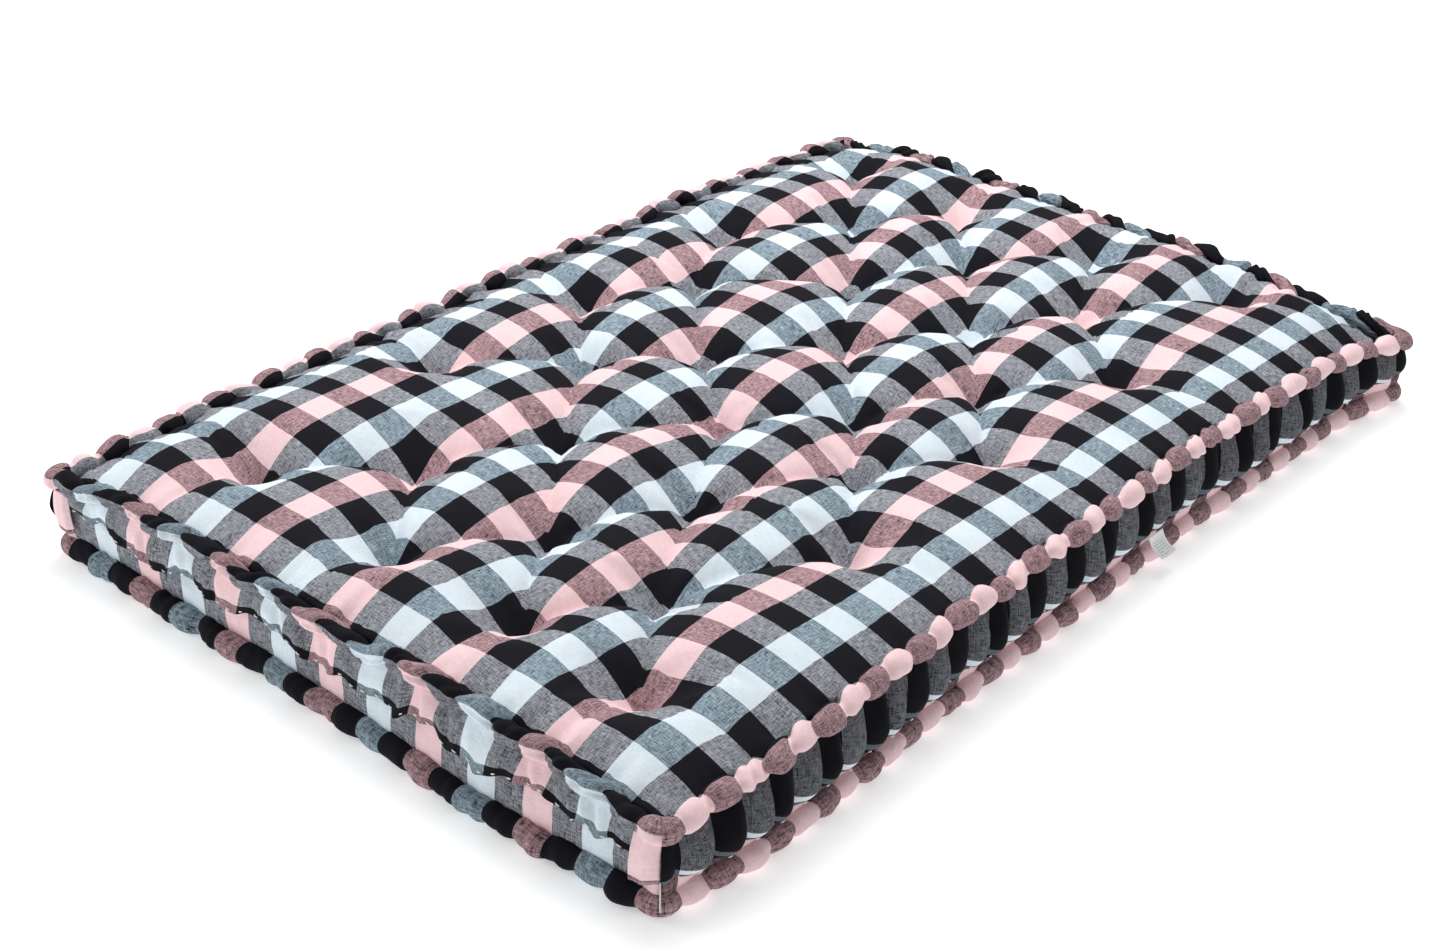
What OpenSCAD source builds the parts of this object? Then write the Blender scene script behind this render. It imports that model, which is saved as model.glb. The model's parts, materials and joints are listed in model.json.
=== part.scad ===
// Hand-tufted cotton futon mattress with rolled edges.
// It lies flat: +X across the width, +Y along the length, +Z up.
// The origin is the middle of the underside.

/* [Mattress] */
// Width over the outside of the edge rolls
mattress_w = 1220; // [1100:10:1300]
// Length over the outside of the edge rolls
mattress_l = 1880; // [1840:10:2000]
// Height of the pillow crests above the floor
crest_h = 186; // [182:1:200]
// Thickness of the cover cloth with its backing of combed cotton
cover_t = 3; // [2:0.5:4]
// How far in from the edge the top surface takes to reach its full height
crown_run = 100; // [60:5:120]

/* [Edge rolls] */
// Diameter of the rolled edges
roll_d = 28; // [24:1:30]
// Height of the upper roll's centre line
top_roll_z = 138; // [132:1:142]
// Wall of a roll's cloth casing
roll_wall = 1.6; // [1:0.2:2.4]

/* [Sides] */
// Height of the top sheet's hem on the two long sides
long_hem_z = 54; // [44:1:70]
// Height of the top sheet's hem on the two short sides
short_hem_z = 86; // [70:1:96]
// Number of gathered flutes along a long side, one for each woven stripe
long_flutes = 38; // [30:1:44]
// Number of gathered flutes along a short side
short_flutes = 24; // [20:1:28]
// How far a flute bulges from the side
flute_bulge = 5; // [3:0.5:6]

/* [Tufting] */
// Number of tuft rows along the length
tuft_rows = 9; // [5:2:9]
// Tufts in the odd rows, the even rows have one fewer
tuft_cols = 4; // [2:1:4]
// Distance between tufts across a row
tuft_pitch_x = 270; // [240:5:280]
// Distance between rows
tuft_pitch_y = 192; // [180:1:195]
// Distance from the front edge to the first row
first_row = 192; // [180:1:200]
// Sideways offset of the first row from the middle
first_row_shift = 27; // [-30:1:30]
// Sideways drift of the hand-laid grid from each row to the next
row_drift = -10.4; // [-12:0.2:12]
// Depth of a tuft well below the crests
tuft_depth = 72; // [60:1:74]

/* [Care label] */
// Width of the label along the side
label_w = 40; // [30:1:50]
// Drop of the label from its sewn edge
label_h = 38; // [30:1:38]
// Where the label hangs along the right side
label_y = 180; // [-400:10:400]

/* [Hidden] */

roll_r = roll_d / 2;
clear = 0.3;                            // gap between neighbouring soft pieces
side_x = mattress_w / 2 - roll_r;       // plane through the long rolls' centres
side_y = mattress_l / 2 - roll_r;       // plane through the short rolls' centres
inner_x = side_x - roll_r - clear;      // where the faces stop beside the rolls
inner_y = side_y - roll_r - clear;
bottom_roll_z = roll_r;
wall_t = 4;                             // thickness of the lower side wall
drop_t = 6;                             // thickness of the top sheet's folded drop
wall_z0 = roll_d + clear;               // side cloth between the two rolls
wall_z1 = top_roll_z - roll_r - clear;
wall_lap = 20;                          // how far the lower wall runs up behind the hem
hem_strip = 10;                         // flat strip that takes the hem stitches
flute_chord = 0.44;                     // half a flute's chord as a share of its pitch
corner_fold_z0 = long_hem_z + 6;        // lowest edge of the folded corners

panel_rim_z = top_roll_z - 10;          // lowest edge of the top panel beside the roll
crown_z0 = top_roll_z + 2;              // where the panel leaves the roll
well_r = 80;                            // radius of a tuft well
well_z = crest_h - tuft_depth;          // lowest point of a tuft well
under_well_r = 60;                      // radius of the shallow wells underneath
under_well_d = 14;                      // their depth
tuft_nudges = [                         // how far each tuft is off the grid, row by row
  [[-5, 10], [35, 0], [10, 5], [-30, -5]],
  [[30, -10], [30, -5], [-15, -25]],
  [[-50, 40], [-5, 15], [0, 5], [-25, 60]],
  [[-15, 25], [10, 30], [-10, 50]],
  [[-20, -10], [-10, -20], [20, 5], [-25, 40]],
  [[-55, -15], [5, -10], [-10, 5]],
  [[-10, -15], [10, -15], [0, -15], [0, 10]],
  [[0, 5], [-20, 10], [-30, -20]],
  [[-5, 0], [-5, -30], [10, 0], [0, 25]]
];
batting_z1 = 60;                        // seam between lower and middle batting
batting_z2 = well_z - cover_t - 6;      // seam between middle and upper batting

stitch_r = 0.6;                         // sewing thread
stitch_len = 12;
hem_stitch_len = 9;
tie_r = 1.1;                            // tufting twine
tuft_stitch_len = 16;
tuft_stitch_r = 1.2;
knot_r = 3.5;
thread_gap = 0.1;                       // between a thread and the cloth it lies on
tie_show = 0.3;                         // how far a tie stands out of the cover's well
tuft_stitch_gap = 0.6;                  // clears the well's curve at the stitch's ends
top_neck_out = 8.5;                     // the upper roll's stitches, out from its centre line
top_neck_gap = 1.3;                     // and above the side wall's top
bottom_neck_out = 2;                    // the same for the lower roll
bottom_neck_gap = 1.1;

label_t = 0.8;
label_x = side_x + 8;                   // hinge line of the label
label_z = corner_fold_z0;
label_tilt = 8.6;                       // the label hangs clear of the lower roll
label_thread_r = 0.4;
label_thread_gap = 0.5;

tail_r = 0.9;
tail_sides = 8;
tail_route = [
  [599, -929, 59.4], [599.6, -929.6, 58], [600.6, -930.6, 56], [601.8, -931.8, 53.6],
  [602.8, -932.8, 51], [603.6, -933.6, 48], [604.2, -934.2, 45], [604.8, -934.8, 42],
  [605.4, -935.4, 39], [606, -936, 36], [606.6, -936.6, 33], [607.2, -937.2, 30],
  [607.8, -937.8, 27.4], [608.4, -938.4, 25], [609, -939, 23]
];

plaid_pale = [0.86, 0.87, 0.9];
plaid_pink = [0.95, 0.78, 0.79];
plaid_black = [0.13, 0.13, 0.16];
plaid_gray = [0.5, 0.5, 0.53];
cotton = [0.94, 0.92, 0.86];
twine = [0.9, 0.88, 0.82];

// ---- helpers ----

// Tuft positions: rows of tuft_cols and tuft_cols - 1 in turn, each row shifted a little,
// and each tuft a little off its place, because they are laid by hand.
function row_count(k) = k % 2 == 0 ? tuft_cols : tuft_cols - 1;
function row_shift(k) = first_row_shift + row_drift * k;
function nudge(k, j) =
  k < len(tuft_nudges) && j < len(tuft_nudges[k]) ? tuft_nudges[k][j] : [0, 0];
tufts = [
  for (k = [0 : tuft_rows - 1], j = [0 : row_count(k) - 1])
    nudge(k, j) +
    [(j - (row_count(k) - 1) / 2) * tuft_pitch_x + row_shift(k),
     first_row - mattress_l / 2 + k * tuft_pitch_y]
];

// Outline of the crowned top: a flat middle with a quarter-ellipse shoulder at each end.
function shoulder(half, base, edge, top) = [
  [half, base],
  for (a = [0 : 15 : 90]) [half - crown_run * (1 - cos(a)), edge + (top - edge) * sin(a)]
];
function crown_outline(half, base, edge, top) =
  let (right = shoulder(half, base, edge, top))
  concat(right, [for (i = [len(right) - 1 : -1 : 0]) [-right[i][0], right[i][1]]]);

// Crowned block, inset from the outside surface by t all round.
module crowned_block(t, base) {
  intersection() {
    rotate([90, 0, 0])
      linear_extrude(height = mattress_l, center = true)
        polygon(crown_outline(inner_x - t, base, crown_z0 - t, crest_h - t));
    rotate([90, 0, 90])
      linear_extrude(height = mattress_w, center = true)
        polygon(crown_outline(inner_y - t, base, crown_z0 - t, crest_h - t));
  }
}

// Balls that cut the tuft wells, grown by t. The next module does the same underneath.
module top_wells(t) {
  for (p = tufts)
    translate([p[0], p[1], well_z + well_r])
      sphere(r = well_r + t, $fn = 48);
}

module under_wells(t) {
  for (p = tufts)
    translate([p[0], p[1], under_well_d - under_well_r])
      sphere(r = under_well_r + t, $fn = 48);
}

// A box between two heights, centred on the origin in plan.
module slab(half_x, half_y, z0, z1) {
  translate([-half_x, -half_y, z0])
    cube([2 * half_x, 2 * half_y, z1 - z0]);
}

// Plan of one edge's share of the rim, mitred at both corners. The edge runs along X at +half_len.
module mitre_plan(half_run, offset_y) {
  gap = clear / 2;
  polygon([
    [-(half_run - roll_r - gap), offset_y - roll_r], [half_run - roll_r - gap, offset_y - roll_r],
    [half_run + roll_r - gap, offset_y + roll_r], [-(half_run + roll_r - gap), offset_y + roll_r]
  ]);
}

// A round bar along one edge, mitred where it meets the next edge.
module edge_bar(half_run, offset_y, z, r, bore = 0) {
  intersection() {
    translate([0, offset_y, z])
      rotate([0, 90, 0])
        difference() {
          cylinder(r = r, h = 2 * (half_run + roll_d), center = true, $fn = 48);
          if (bore > 0)
            cylinder(r = bore, h = 2 * (half_run + roll_d) + 2, center = true, $fn = 48);
        }
    translate([0, 0, z - roll_d])
      linear_extrude(height = 2 * roll_d)
        mitre_plan(half_run, offset_y);
  }
}

// side: 0 front (-Y), 1 right (+X), 2 back (+Y), 3 left (-X)
module on_side(side) {
  rotate([0, 0, side * 90 + 180])
    children();
}
function run_of(side) = side % 2 == 0 ? side_x : side_y;
function reach_of(side) = side % 2 == 0 ? side_y : side_x;
function hem_of(side) = side % 2 == 0 ? short_hem_z : long_hem_z;
function flutes_of(side) = side % 2 == 0 ? short_flutes : long_flutes;

module roll(side, z) {
  on_side(side)
    edge_bar(run_of(side), reach_of(side), z, roll_r, roll_r - roll_wall);
}

module roll_filling(z) {
  for (side = [0 : 3])
    on_side(side)
      edge_bar(run_of(side), reach_of(side), z, roll_r - roll_wall - clear);
}

// Scalloped plan of a gathered drop: shallow arcs, one for each flute.
module fluted_plan(half_run, count) {
  pitch = 2 * half_run / count;
  chord = pitch * flute_chord;
  arc_r = (chord * chord + flute_bulge * flute_bulge) / (2 * flute_bulge);
  translate([-half_run, clear])
    square([2 * half_run, drop_t]);
  intersection() {
    translate([-half_run, clear + drop_t / 2])
      square([2 * half_run, drop_t / 2 + flute_bulge + 1]);
    for (i = [0 : count - 1])
      translate([(i + 0.5) * pitch - half_run, clear + drop_t + flute_bulge - arc_r])
        circle(r = arc_r, $fn = 64);
  }
}

module top_drop(side) {
  hem = hem_of(side);
  on_side(side)
    translate([0, reach_of(side), 0]) {
      translate([-run_of(side), clear, hem])
        cube([2 * run_of(side), drop_t, hem_strip]);
      translate([0, 0, hem + hem_strip])
        linear_extrude(height = wall_z1 - hem - hem_strip)
          fluted_plan(run_of(side), flutes_of(side));
    }
}

module lower_wall(side) {
  // the short walls stop at the inside of the long ones
  half = side % 2 == 0 ? side_x - wall_t - clear : side_y;
  on_side(side)
    translate([-half, reach_of(side) - wall_t, wall_z0])
      cube([2 * half, wall_t, hem_of(side) + wall_lap - wall_z0]);
}

// A short thread lying along one edge.
module edge_thread(length, r) {
  rotate([0, 90, 0])
    cylinder(r = r, h = length, center = true, $fn = 16);
}

// One thread at every stripe along an edge.
module thread_row(side, out, z, length) {
  count = flutes_of(side);
  pitch = 2 * run_of(side) / count;
  on_side(side)
    for (i = [1 : count - 1])
      translate([i * pitch - run_of(side), reach_of(side) + out, z])
        edge_thread(length, stitch_r);
}

// ---- cover ----

module top_panel() {
  color(plaid_pale)
    difference() {
      crowned_block(0, panel_rim_z);
      difference() {
        crowned_block(cover_t, panel_rim_z - 1);
        top_wells(cover_t);
      }
      top_wells(0);
    }
}

module bottom_panel() {
  color(plaid_pale)
    difference() {
      union() {
        slab(inner_x, inner_y, 0, cover_t);
        intersection() {
          under_wells(cover_t);
          slab(inner_x, inner_y, 0, under_well_d + 2 * cover_t);
        }
      }
      under_wells(0);
    }
}

module top_drop_front() { color(plaid_gray) top_drop(0); }
module top_drop_right() { color(plaid_black) top_drop(1); }
module top_drop_back() { color(plaid_gray) top_drop(2); }
module top_drop_left() { color(plaid_black) top_drop(3); }

module lower_wall_front() { color(plaid_gray) lower_wall(0); }
module lower_wall_right() { color(plaid_pink) lower_wall(1); }
module lower_wall_back() { color(plaid_gray) lower_wall(2); }
module lower_wall_left() { color(plaid_pink) lower_wall(3); }

// Folded cloth that closes the top sheet round each upright corner.
module corner_folds() {
  color(plaid_pink)
    for (sx = [-1, 1], sy = [-1, 1])
      intersection() {
        translate([sx * side_x, sy * side_y, corner_fold_z0])
          cylinder(r = drop_t, h = wall_z1 - corner_fold_z0, $fn = 48);
        translate([sx > 0 ? side_x + clear : -side_x - clear - drop_t,
                   sy > 0 ? side_y + clear : -side_y - clear - drop_t, 0])
          cube([drop_t, drop_t, crest_h]);
      }
}

module top_roll_front() { color(plaid_black) roll(0, top_roll_z); }
module top_roll_right() { color(plaid_pink) roll(1, top_roll_z); }
module top_roll_back() { color(plaid_black) roll(2, top_roll_z); }
module top_roll_left() { color(plaid_pink) roll(3, top_roll_z); }

module bottom_roll_front() { color(plaid_black) roll(0, bottom_roll_z); }
module bottom_roll_right() { color(plaid_pink) roll(1, bottom_roll_z); }
module bottom_roll_back() { color(plaid_black) roll(2, bottom_roll_z); }
module bottom_roll_left() { color(plaid_pink) roll(3, bottom_roll_z); }

// ---- filling ----

module top_roll_filling() { color(cotton) roll_filling(top_roll_z); }
module bottom_roll_filling() { color(cotton) roll_filling(bottom_roll_z); }

// The lower layer is narrower beside the rolls and full width above them.
module batting_lower() {
  full_x = side_x - wall_t - clear;
  full_y = side_y - wall_t - clear;
  color(cotton)
    difference() {
      union() {
        slab(inner_x, inner_y, cover_t + clear, wall_z0 + clear);
        slab(full_x, full_y, wall_z0 + clear, batting_z1);
      }
      under_wells(cover_t + clear);
    }
}

module batting_middle() {
  color(cotton)
    slab(side_x - wall_t - clear, side_y - wall_t - clear, batting_z1 + clear, batting_z2);
}

module batting_upper() {
  inset = cover_t + clear;
  color(cotton)
    difference() {
      crowned_block(inset, batting_z2 + clear);
      top_wells(inset);
    }
}

// ---- sewing ----

module tuft_ties() {
  color(twine)
    for (p = tufts)
      translate([p[0], p[1], under_well_d - thread_gap])
        cylinder(r = tie_r, h = well_z - under_well_d + thread_gap + tie_show, $fn = 16);
}

module tuft_stitches() {
  color(twine)
    for (p = tufts)
      translate([p[0], p[1], well_z + tuft_stitch_r + tuft_stitch_gap])
        edge_thread(tuft_stitch_len, tuft_stitch_r);
}

module tuft_knots() {
  color(twine)
    for (p = tufts)
      translate([p[0], p[1], under_well_d - knot_r - clear])
        sphere(r = knot_r, $fn = 32);
}

module top_roll_stitching() {
  color("white")
    for (side = [0 : 3])
      thread_row(side, top_neck_out, wall_z1 + top_neck_gap, stitch_len);
}

module bottom_roll_stitching() {
  color("white")
    for (side = [0 : 3])
      thread_row(side, bottom_neck_out, wall_z0 + bottom_neck_gap, stitch_len);
}

module hem_stitching() {
  color("white")
    for (side = [0 : 3])
      thread_row(side, drop_t + clear + stitch_r + thread_gap, hem_of(side) + hem_strip / 2,
                 hem_stitch_len);
}

// ---- label and loose thread ----

module care_label() {
  color("white")
    translate([label_x, label_y, label_z])
      rotate([0, -label_tilt, 0])
        translate([-label_t / 2, -label_w / 2, -label_h])
          cube([label_t, label_w, label_h]);
}

module label_stitching() {
  color("white")
    for (s = [-1, 1])
      translate([side_x + clear + drop_t + label_thread_gap, label_y + s * label_w / 4, label_z])
        rotate([90, 0, 0])
          cylinder(r = label_thread_r, h = label_w / 3, center = true, $fn = 16);
}

// A tube swept along the route, with one ring at each point.
function unit(v) = v / norm(v);
function heading(i) =
  unit(tail_route[min(i + 1, len(tail_route) - 1)] - tail_route[max(i - 1, 0)]);
function ring(i) =
  let (d = heading(i), u = unit(cross(d, [1, 0, 0])), w = cross(d, u))
  [for (s = [0 : tail_sides - 1])
    let (a = 360 * s / tail_sides)
    tail_route[i] + tail_r * (cos(a) * u + sin(a) * w)];

module thread_tail() {
  n = len(tail_route);
  points = [for (i = [0 : n - 1]) each ring(i)];
  walls = [
    for (i = [0 : n - 2], s = [0 : tail_sides - 1])
      let (a = i * tail_sides + s, b = i * tail_sides + (s + 1) % tail_sides)
      [a, b, b + tail_sides, a + tail_sides]
  ];
  first = [for (s = [tail_sides - 1 : -1 : 0]) s];
  last = [for (s = [0 : tail_sides - 1]) (n - 1) * tail_sides + s];
  color("white")
    polyhedron(points = points, faces = concat(walls, [first, last]));
}

top_panel();
bottom_panel();
top_drop_front();
top_drop_back();
top_drop_left();
top_drop_right();
lower_wall_front();
lower_wall_back();
lower_wall_left();
lower_wall_right();
corner_folds();
top_roll_front();
top_roll_back();
top_roll_left();
top_roll_right();
bottom_roll_front();
bottom_roll_back();
bottom_roll_left();
bottom_roll_right();
top_roll_filling();
bottom_roll_filling();
batting_lower();
batting_middle();
batting_upper();
tuft_ties();
tuft_stitches();
tuft_knots();
top_roll_stitching();
bottom_roll_stitching();
hem_stitching();
care_label();
label_stitching();
thread_tail();
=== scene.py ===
import json
import math

import bpy
import numpy as np
from mathutils import Matrix, Vector


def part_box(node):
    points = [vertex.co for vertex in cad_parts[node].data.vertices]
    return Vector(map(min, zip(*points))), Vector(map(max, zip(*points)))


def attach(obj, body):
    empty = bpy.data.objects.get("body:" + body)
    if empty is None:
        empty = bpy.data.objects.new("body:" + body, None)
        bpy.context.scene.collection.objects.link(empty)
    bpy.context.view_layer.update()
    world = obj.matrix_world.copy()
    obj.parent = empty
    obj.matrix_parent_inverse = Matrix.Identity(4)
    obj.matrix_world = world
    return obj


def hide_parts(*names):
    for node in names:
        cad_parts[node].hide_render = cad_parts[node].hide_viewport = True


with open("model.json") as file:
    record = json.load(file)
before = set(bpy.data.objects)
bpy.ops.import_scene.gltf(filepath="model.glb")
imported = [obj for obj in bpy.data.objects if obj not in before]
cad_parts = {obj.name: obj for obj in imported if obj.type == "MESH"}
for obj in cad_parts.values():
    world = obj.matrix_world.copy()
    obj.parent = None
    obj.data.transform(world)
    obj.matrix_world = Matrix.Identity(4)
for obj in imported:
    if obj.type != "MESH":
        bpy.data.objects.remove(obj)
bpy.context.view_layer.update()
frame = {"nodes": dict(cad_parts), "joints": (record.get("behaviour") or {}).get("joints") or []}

nodes = frame["nodes"]
print("frame loaded:", len(nodes), "CAD nodes")

scene = bpy.context.scene

# camera, light and floor
studio = {
    "eye": (2.005, -2.527, 1.856),
    "forward": (-0.55449, 0.66438, -0.50115),
    "up": (-0.35083, 0.35945, 0.86470),
    "lens": 57.2,
    "sensor": 36,
    "skyStrength": 0.40,
    "lamps": {
        "overhead": {"place": (-0.6, 0.8, 3.2), "aim": (0, 0, 0), "size": (2.6, 2.6), "power": 106},
        "front": {"place": (-2.9, -2.8, 1.7), "aim": (0, 0, 0.1), "size": (1.6, 1.2), "power": 38},
    },
    "floor": {"size": 40, "below": 0.0005, "colour": (0.92, 0.95, 0.955, 1), "glow": 0.42},
}


def aimedCamera():
    camera = bpy.data.objects.new("camera", bpy.data.cameras.new("camera"))
    scene.collection.objects.link(camera)
    back = -Vector(studio["forward"]).normalized()
    right = Vector(studio["up"]).cross(back).normalized()
    turn = Matrix((right, back.cross(right), back)).transposed()
    camera.matrix_world = Matrix.Translation(studio["eye"]) @ turn.to_4x4()
    camera.data.lens, camera.data.sensor_width = studio["lens"], studio["sensor"]
    camera.data.clip_end = 60
    return camera


def softLamp(name, place, aim, size, power):
    lamp = bpy.data.lights.new(name, "AREA")
    lamp.shape = "RECTANGLE"
    lamp.size, lamp.size_y = size
    lamp.energy = power
    lampObject = bpy.data.objects.new(name, lamp)
    lampObject.location = place
    lampObject.rotation_euler = (Vector(place) - Vector(aim)).to_track_quat("Z", "Y").to_euler()
    scene.collection.objects.link(lampObject)


scene.camera = aimedCamera()
scene.view_settings.view_transform = "Standard"
scene.world = bpy.data.worlds.new("softRoom")
scene.world.use_nodes = True
sky = scene.world.node_tree.nodes["Background"]
sky.inputs["Color"].default_value = (1, 1, 1, 1)
sky.inputs["Strength"].default_value = studio["skyStrength"]
for name, lamp in studio["lamps"].items():
    softLamp(name, **lamp)


class Wire:
    # one socket, so that sums on values can be written as sums
    def __init__(self, board, socket):
        self.board, self.socket = board, socket

    def maths(self, operation, *values):
        return self.board.node("Math", {"operation": operation}, dict(enumerate(values)))

    def __add__(self, other): return self.maths("ADD", self, other)
    def __sub__(self, other): return self.maths("SUBTRACT", self, other)
    def __rsub__(self, other): return self.maths("SUBTRACT", other, self)
    def __mul__(self, other): return self.maths("MULTIPLY", self, other)
    def __mod__(self, other): return self.maths("FLOORED_MODULO", self, other)
    def __gt__(self, other): return self.maths("GREATER_THAN", self, other)
    __radd__, __rmul__ = __add__, __mul__
    def floor(self): return self.maths("FLOOR", self)
    def orMore(self, other): return self.maths("MAXIMUM", self, other)
    def clamped(self): return self.maths("MINIMUM", self.orMore(0.0), 1.0)


class Board:
    # the nodes of one material
    def __init__(self, name):
        self.material = bpy.data.materials.new(name)
        self.material.use_nodes = True
        self.tree = self.material.node_tree
        self.shader = self.tree.nodes["Principled BSDF"]

    def plug(self, socket, value):
        if isinstance(value, Wire):
            self.tree.links.new(value.socket, socket)
        else:
            socket.default_value = value

    def node(self, kind, settings=None, inputs=None, output=0):
        new = self.tree.nodes.new("ShaderNode" + kind)
        for name, value in (settings or {}).items():
            setattr(new, name, value)
        for name, value in (inputs or {}).items():
            self.plug(new.inputs[name], value)
        return Wire(self, new.outputs[output])

    def mix(self, factor, first, second, blend="MIX"):
        # sockets 6 and 7 and output 2 are the ones for colours
        return self.node("Mix", {"data_type": "RGBA", "blend_type": blend}, {0: factor, 6: first, 7: second}, 2)

    def pattern(self):
        # the two coordinates of a piece's own pattern map
        laid = self.node("UVMap", {"uv_map": "stripes"})
        across = self.node("SeparateXYZ", None, {0: laid})
        return laid, across, Wire(self, across.socket.node.outputs[1])

    def finish(self, **values):
        for name, value in values.items():
            self.plug(self.shader.inputs[name.replace("_", " ")], value)
        return self.material


def tone(red, green, blue):
    # a screen colour, 0 to 255, as the shader wants it
    linear = [v / 255 / 12.92 if v < 11 else ((v / 255 + 0.055) / 1.055) ** 2.4 for v in (red, green, blue)]
    return (*linear, 1.0)


white, black = (1.0, 1.0, 1.0, 1.0), (0.0, 0.0, 0.0, 1.0)

cloth = {
    "pinkOnWhite": tone(247, 213, 216),
    "pinkOnBlack": tone(166, 135, 140),
    "blueOnWhite": tone(224, 235, 243),
    "blueOnBlack": tone(136, 152, 163),
    "blackOnWhite": tone(142, 144, 151),
    "blackOnBlack": tone(22, 22, 29),
    # painted shade: the near-black that the black checks of the side and roll cloths are darkened towards
    "paintedShadeBlack": (0.0015, 0.0015, 0.002, 1.0),
    "threads": 36,            # threads to a stripe
    "alongThread": 4.5,       # how often a thread changes its tone in a stripe
    "waver": {"scale": 1.3, "far": 0.05},
    "fleck": {"scale": 34.0, "strength": 1.3},
    "slub": {"scale": 19.0, "over": 0.745, "strength": 0.16},
    "worn": {"scale": 0.7, "plain": 0.14, "mixed": 0.16},
    "heather": 0.72,          # how far the mixed checks speckle
    "plain": 0.07,            # and the plain ones
    "weaveBump": 0.0005,
    "creaseBump": 0.0022,
    "creaseScale": 38.0,
    "countFrom": 40.5,        # keeps the count of the stripes above zero
}


def plaid(name, creases=1.0, shade=1.0):
    # woven checks; the pattern map counts stripes, warp across and weft along; a shade below 1 paints shade on the
    # checks that hold black threads
    board = Board(name)
    _, warpAt, weftAt = board.pattern()
    solid = board.node("TexCoord", output=3)

    def mottle(across, along, detail, roughness=0.55, offset=0.0):
        spot = board.node("CombineXYZ", None, {0: warpAt * across + offset, 1: weftAt * along, 2: offset})
        return board.node("TexNoise", {"noise_dimensions": "3D"},
                          {"Vector": spot, "Scale": 1.0, "Detail": detail, "Roughness": roughness})

    waver = mottle(cloth["waver"]["scale"], cloth["waver"]["scale"], 2.0) - 0.5
    warp = (warpAt + waver * cloth["waver"]["far"] + cloth["countFrom"]).floor()
    weft = (weftAt + waver * cloth["waver"]["far"] + cloth["countFrom"]).floor()
    warpBlack = (warp % 2) > 0.5
    warpBlue = (warp % 4) > 1.5
    weftBlack = 1.0 - ((weft % 2) > 0.5)
    fleck, slub, worn = cloth["fleck"], cloth["slub"], cloth["worn"]
    warpTurns = mottle(cloth["threads"], cloth["alongThread"], 2.0)
    weftTurns = mottle(cloth["alongThread"], cloth["threads"], 2.0, offset=5.0)
    flecks = mottle(fleck["scale"], fleck["scale"], 2.0, 0.7, offset=11.0)
    slubs = (mottle(slub["scale"], slub["scale"], 1.0, offset=17.0) > slub["over"]) * slub["strength"]

    onWhite = board.mix(warpBlack, board.mix(warpBlue, cloth["pinkOnWhite"], cloth["blueOnWhite"]),
                        cloth["blackOnWhite"])
    onBlack = board.mix(warpBlack, board.mix(warpBlue, cloth["pinkOnBlack"], cloth["blueOnBlack"]),
                        cloth["blackOnBlack"])
    base = board.mix(weftBlack, onWhite, onBlack)
    # the mixed checks show their single threads
    mixed = weftBlack + warpBlack - 2.0 * (weftBlack * warpBlack)
    strength = cloth["plain"] + mixed * (cloth["heather"] - cloth["plain"])
    speckle = ((warpTurns - weftTurns) * 2.0 + (flecks - 0.5) * fleck["strength"]) * strength + slubs * mixed
    patches = mottle(worn["scale"], worn["scale"], 3.0, 0.6, offset=3.0) - 0.5
    fading = patches * (worn["plain"] + mixed * worn["mixed"])
    light = board.mix((speckle + fading + 0.5).clamped(), black, white)
    colour = board.mix(1.0, base, board.mix(1.0, light, (2.0, 2.0, 2.0, 1.0), "MULTIPLY"), "MULTIPLY")
    # painted shade: on the side and roll cloths the checks with black threads are darkened towards a near-black, by 1
    # - shade
    colour = board.mix(weftBlack.orMore(warpBlack) * (1.0 - shade), colour, cloth["paintedShadeBlack"])

    rib = (warpTurns + weftTurns) * 0.5
    wrinkle = board.node("TexNoise", {"noise_dimensions": "3D"},
                         {"Vector": solid, "Scale": cloth["creaseScale"], "Detail": 4.0, "Roughness": 0.55,
                          "Distortion": 0.6})
    weave = board.node("Bump", None, {"Strength": 0.6, "Distance": cloth["weaveBump"], "Height": rib})
    soft = board.node("Bump", None, {"Strength": 0.5, "Distance": cloth["creaseBump"] * creases,
                                     "Height": wrinkle, "Normal": weave})
    return board.finish(Base_Color=colour, Roughness=0.88 - rib * 0.1, Normal=soft,
                        Specular_IOR_Level=0.12)


def fibre(name, colour, scale, streak=(1.0, 1.0, 1.0), depth=0.001, contrast=0.25, gloss=0.8):
    # cotton wadding, twine and thread
    board = Board(name)
    place = board.node("Mapping", None, {"Vector": board.node("TexCoord", output=3), "Scale": streak})
    noise = board.node("TexNoise", None, {"Vector": place, "Scale": scale, "Detail": 6.0, "Roughness": 0.65})
    dark = tuple(c * (1 - contrast) for c in colour[:3]) + (1.0,)
    tint = board.mix(noise, dark, colour)
    bump = board.node("Bump", None, {"Strength": 0.7, "Distance": depth, "Height": noise})
    return board.finish(Base_Color=tint, Roughness=gloss, Normal=bump, Sheen_Weight=0.1)


faceCloth = plaid("facePlaid", creases=0.7)
# the side and roll copies carry painted shade: a shade below 1 darkens their black checks, most on the long sides
longCloth = plaid("longSidePlaid", creases=1.3, shade=0.42)
shortCloth = plaid("shortSidePlaid", creases=1.6, shade=0.84)
longRollCloth = plaid("longRollPlaid", creases=1.5, shade=0.84)
shortRollCloth = plaid("shortRollPlaid", creases=1.7, shade=0.84)
wadding = fibre("cottonWadding", tone(240, 235, 222), 90, depth=0.004, contrast=0.2)
twineMaterial = fibre("tuftTwine", tone(200, 196, 190), 900, (1, 1, 0.3), 0.0004)


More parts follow.
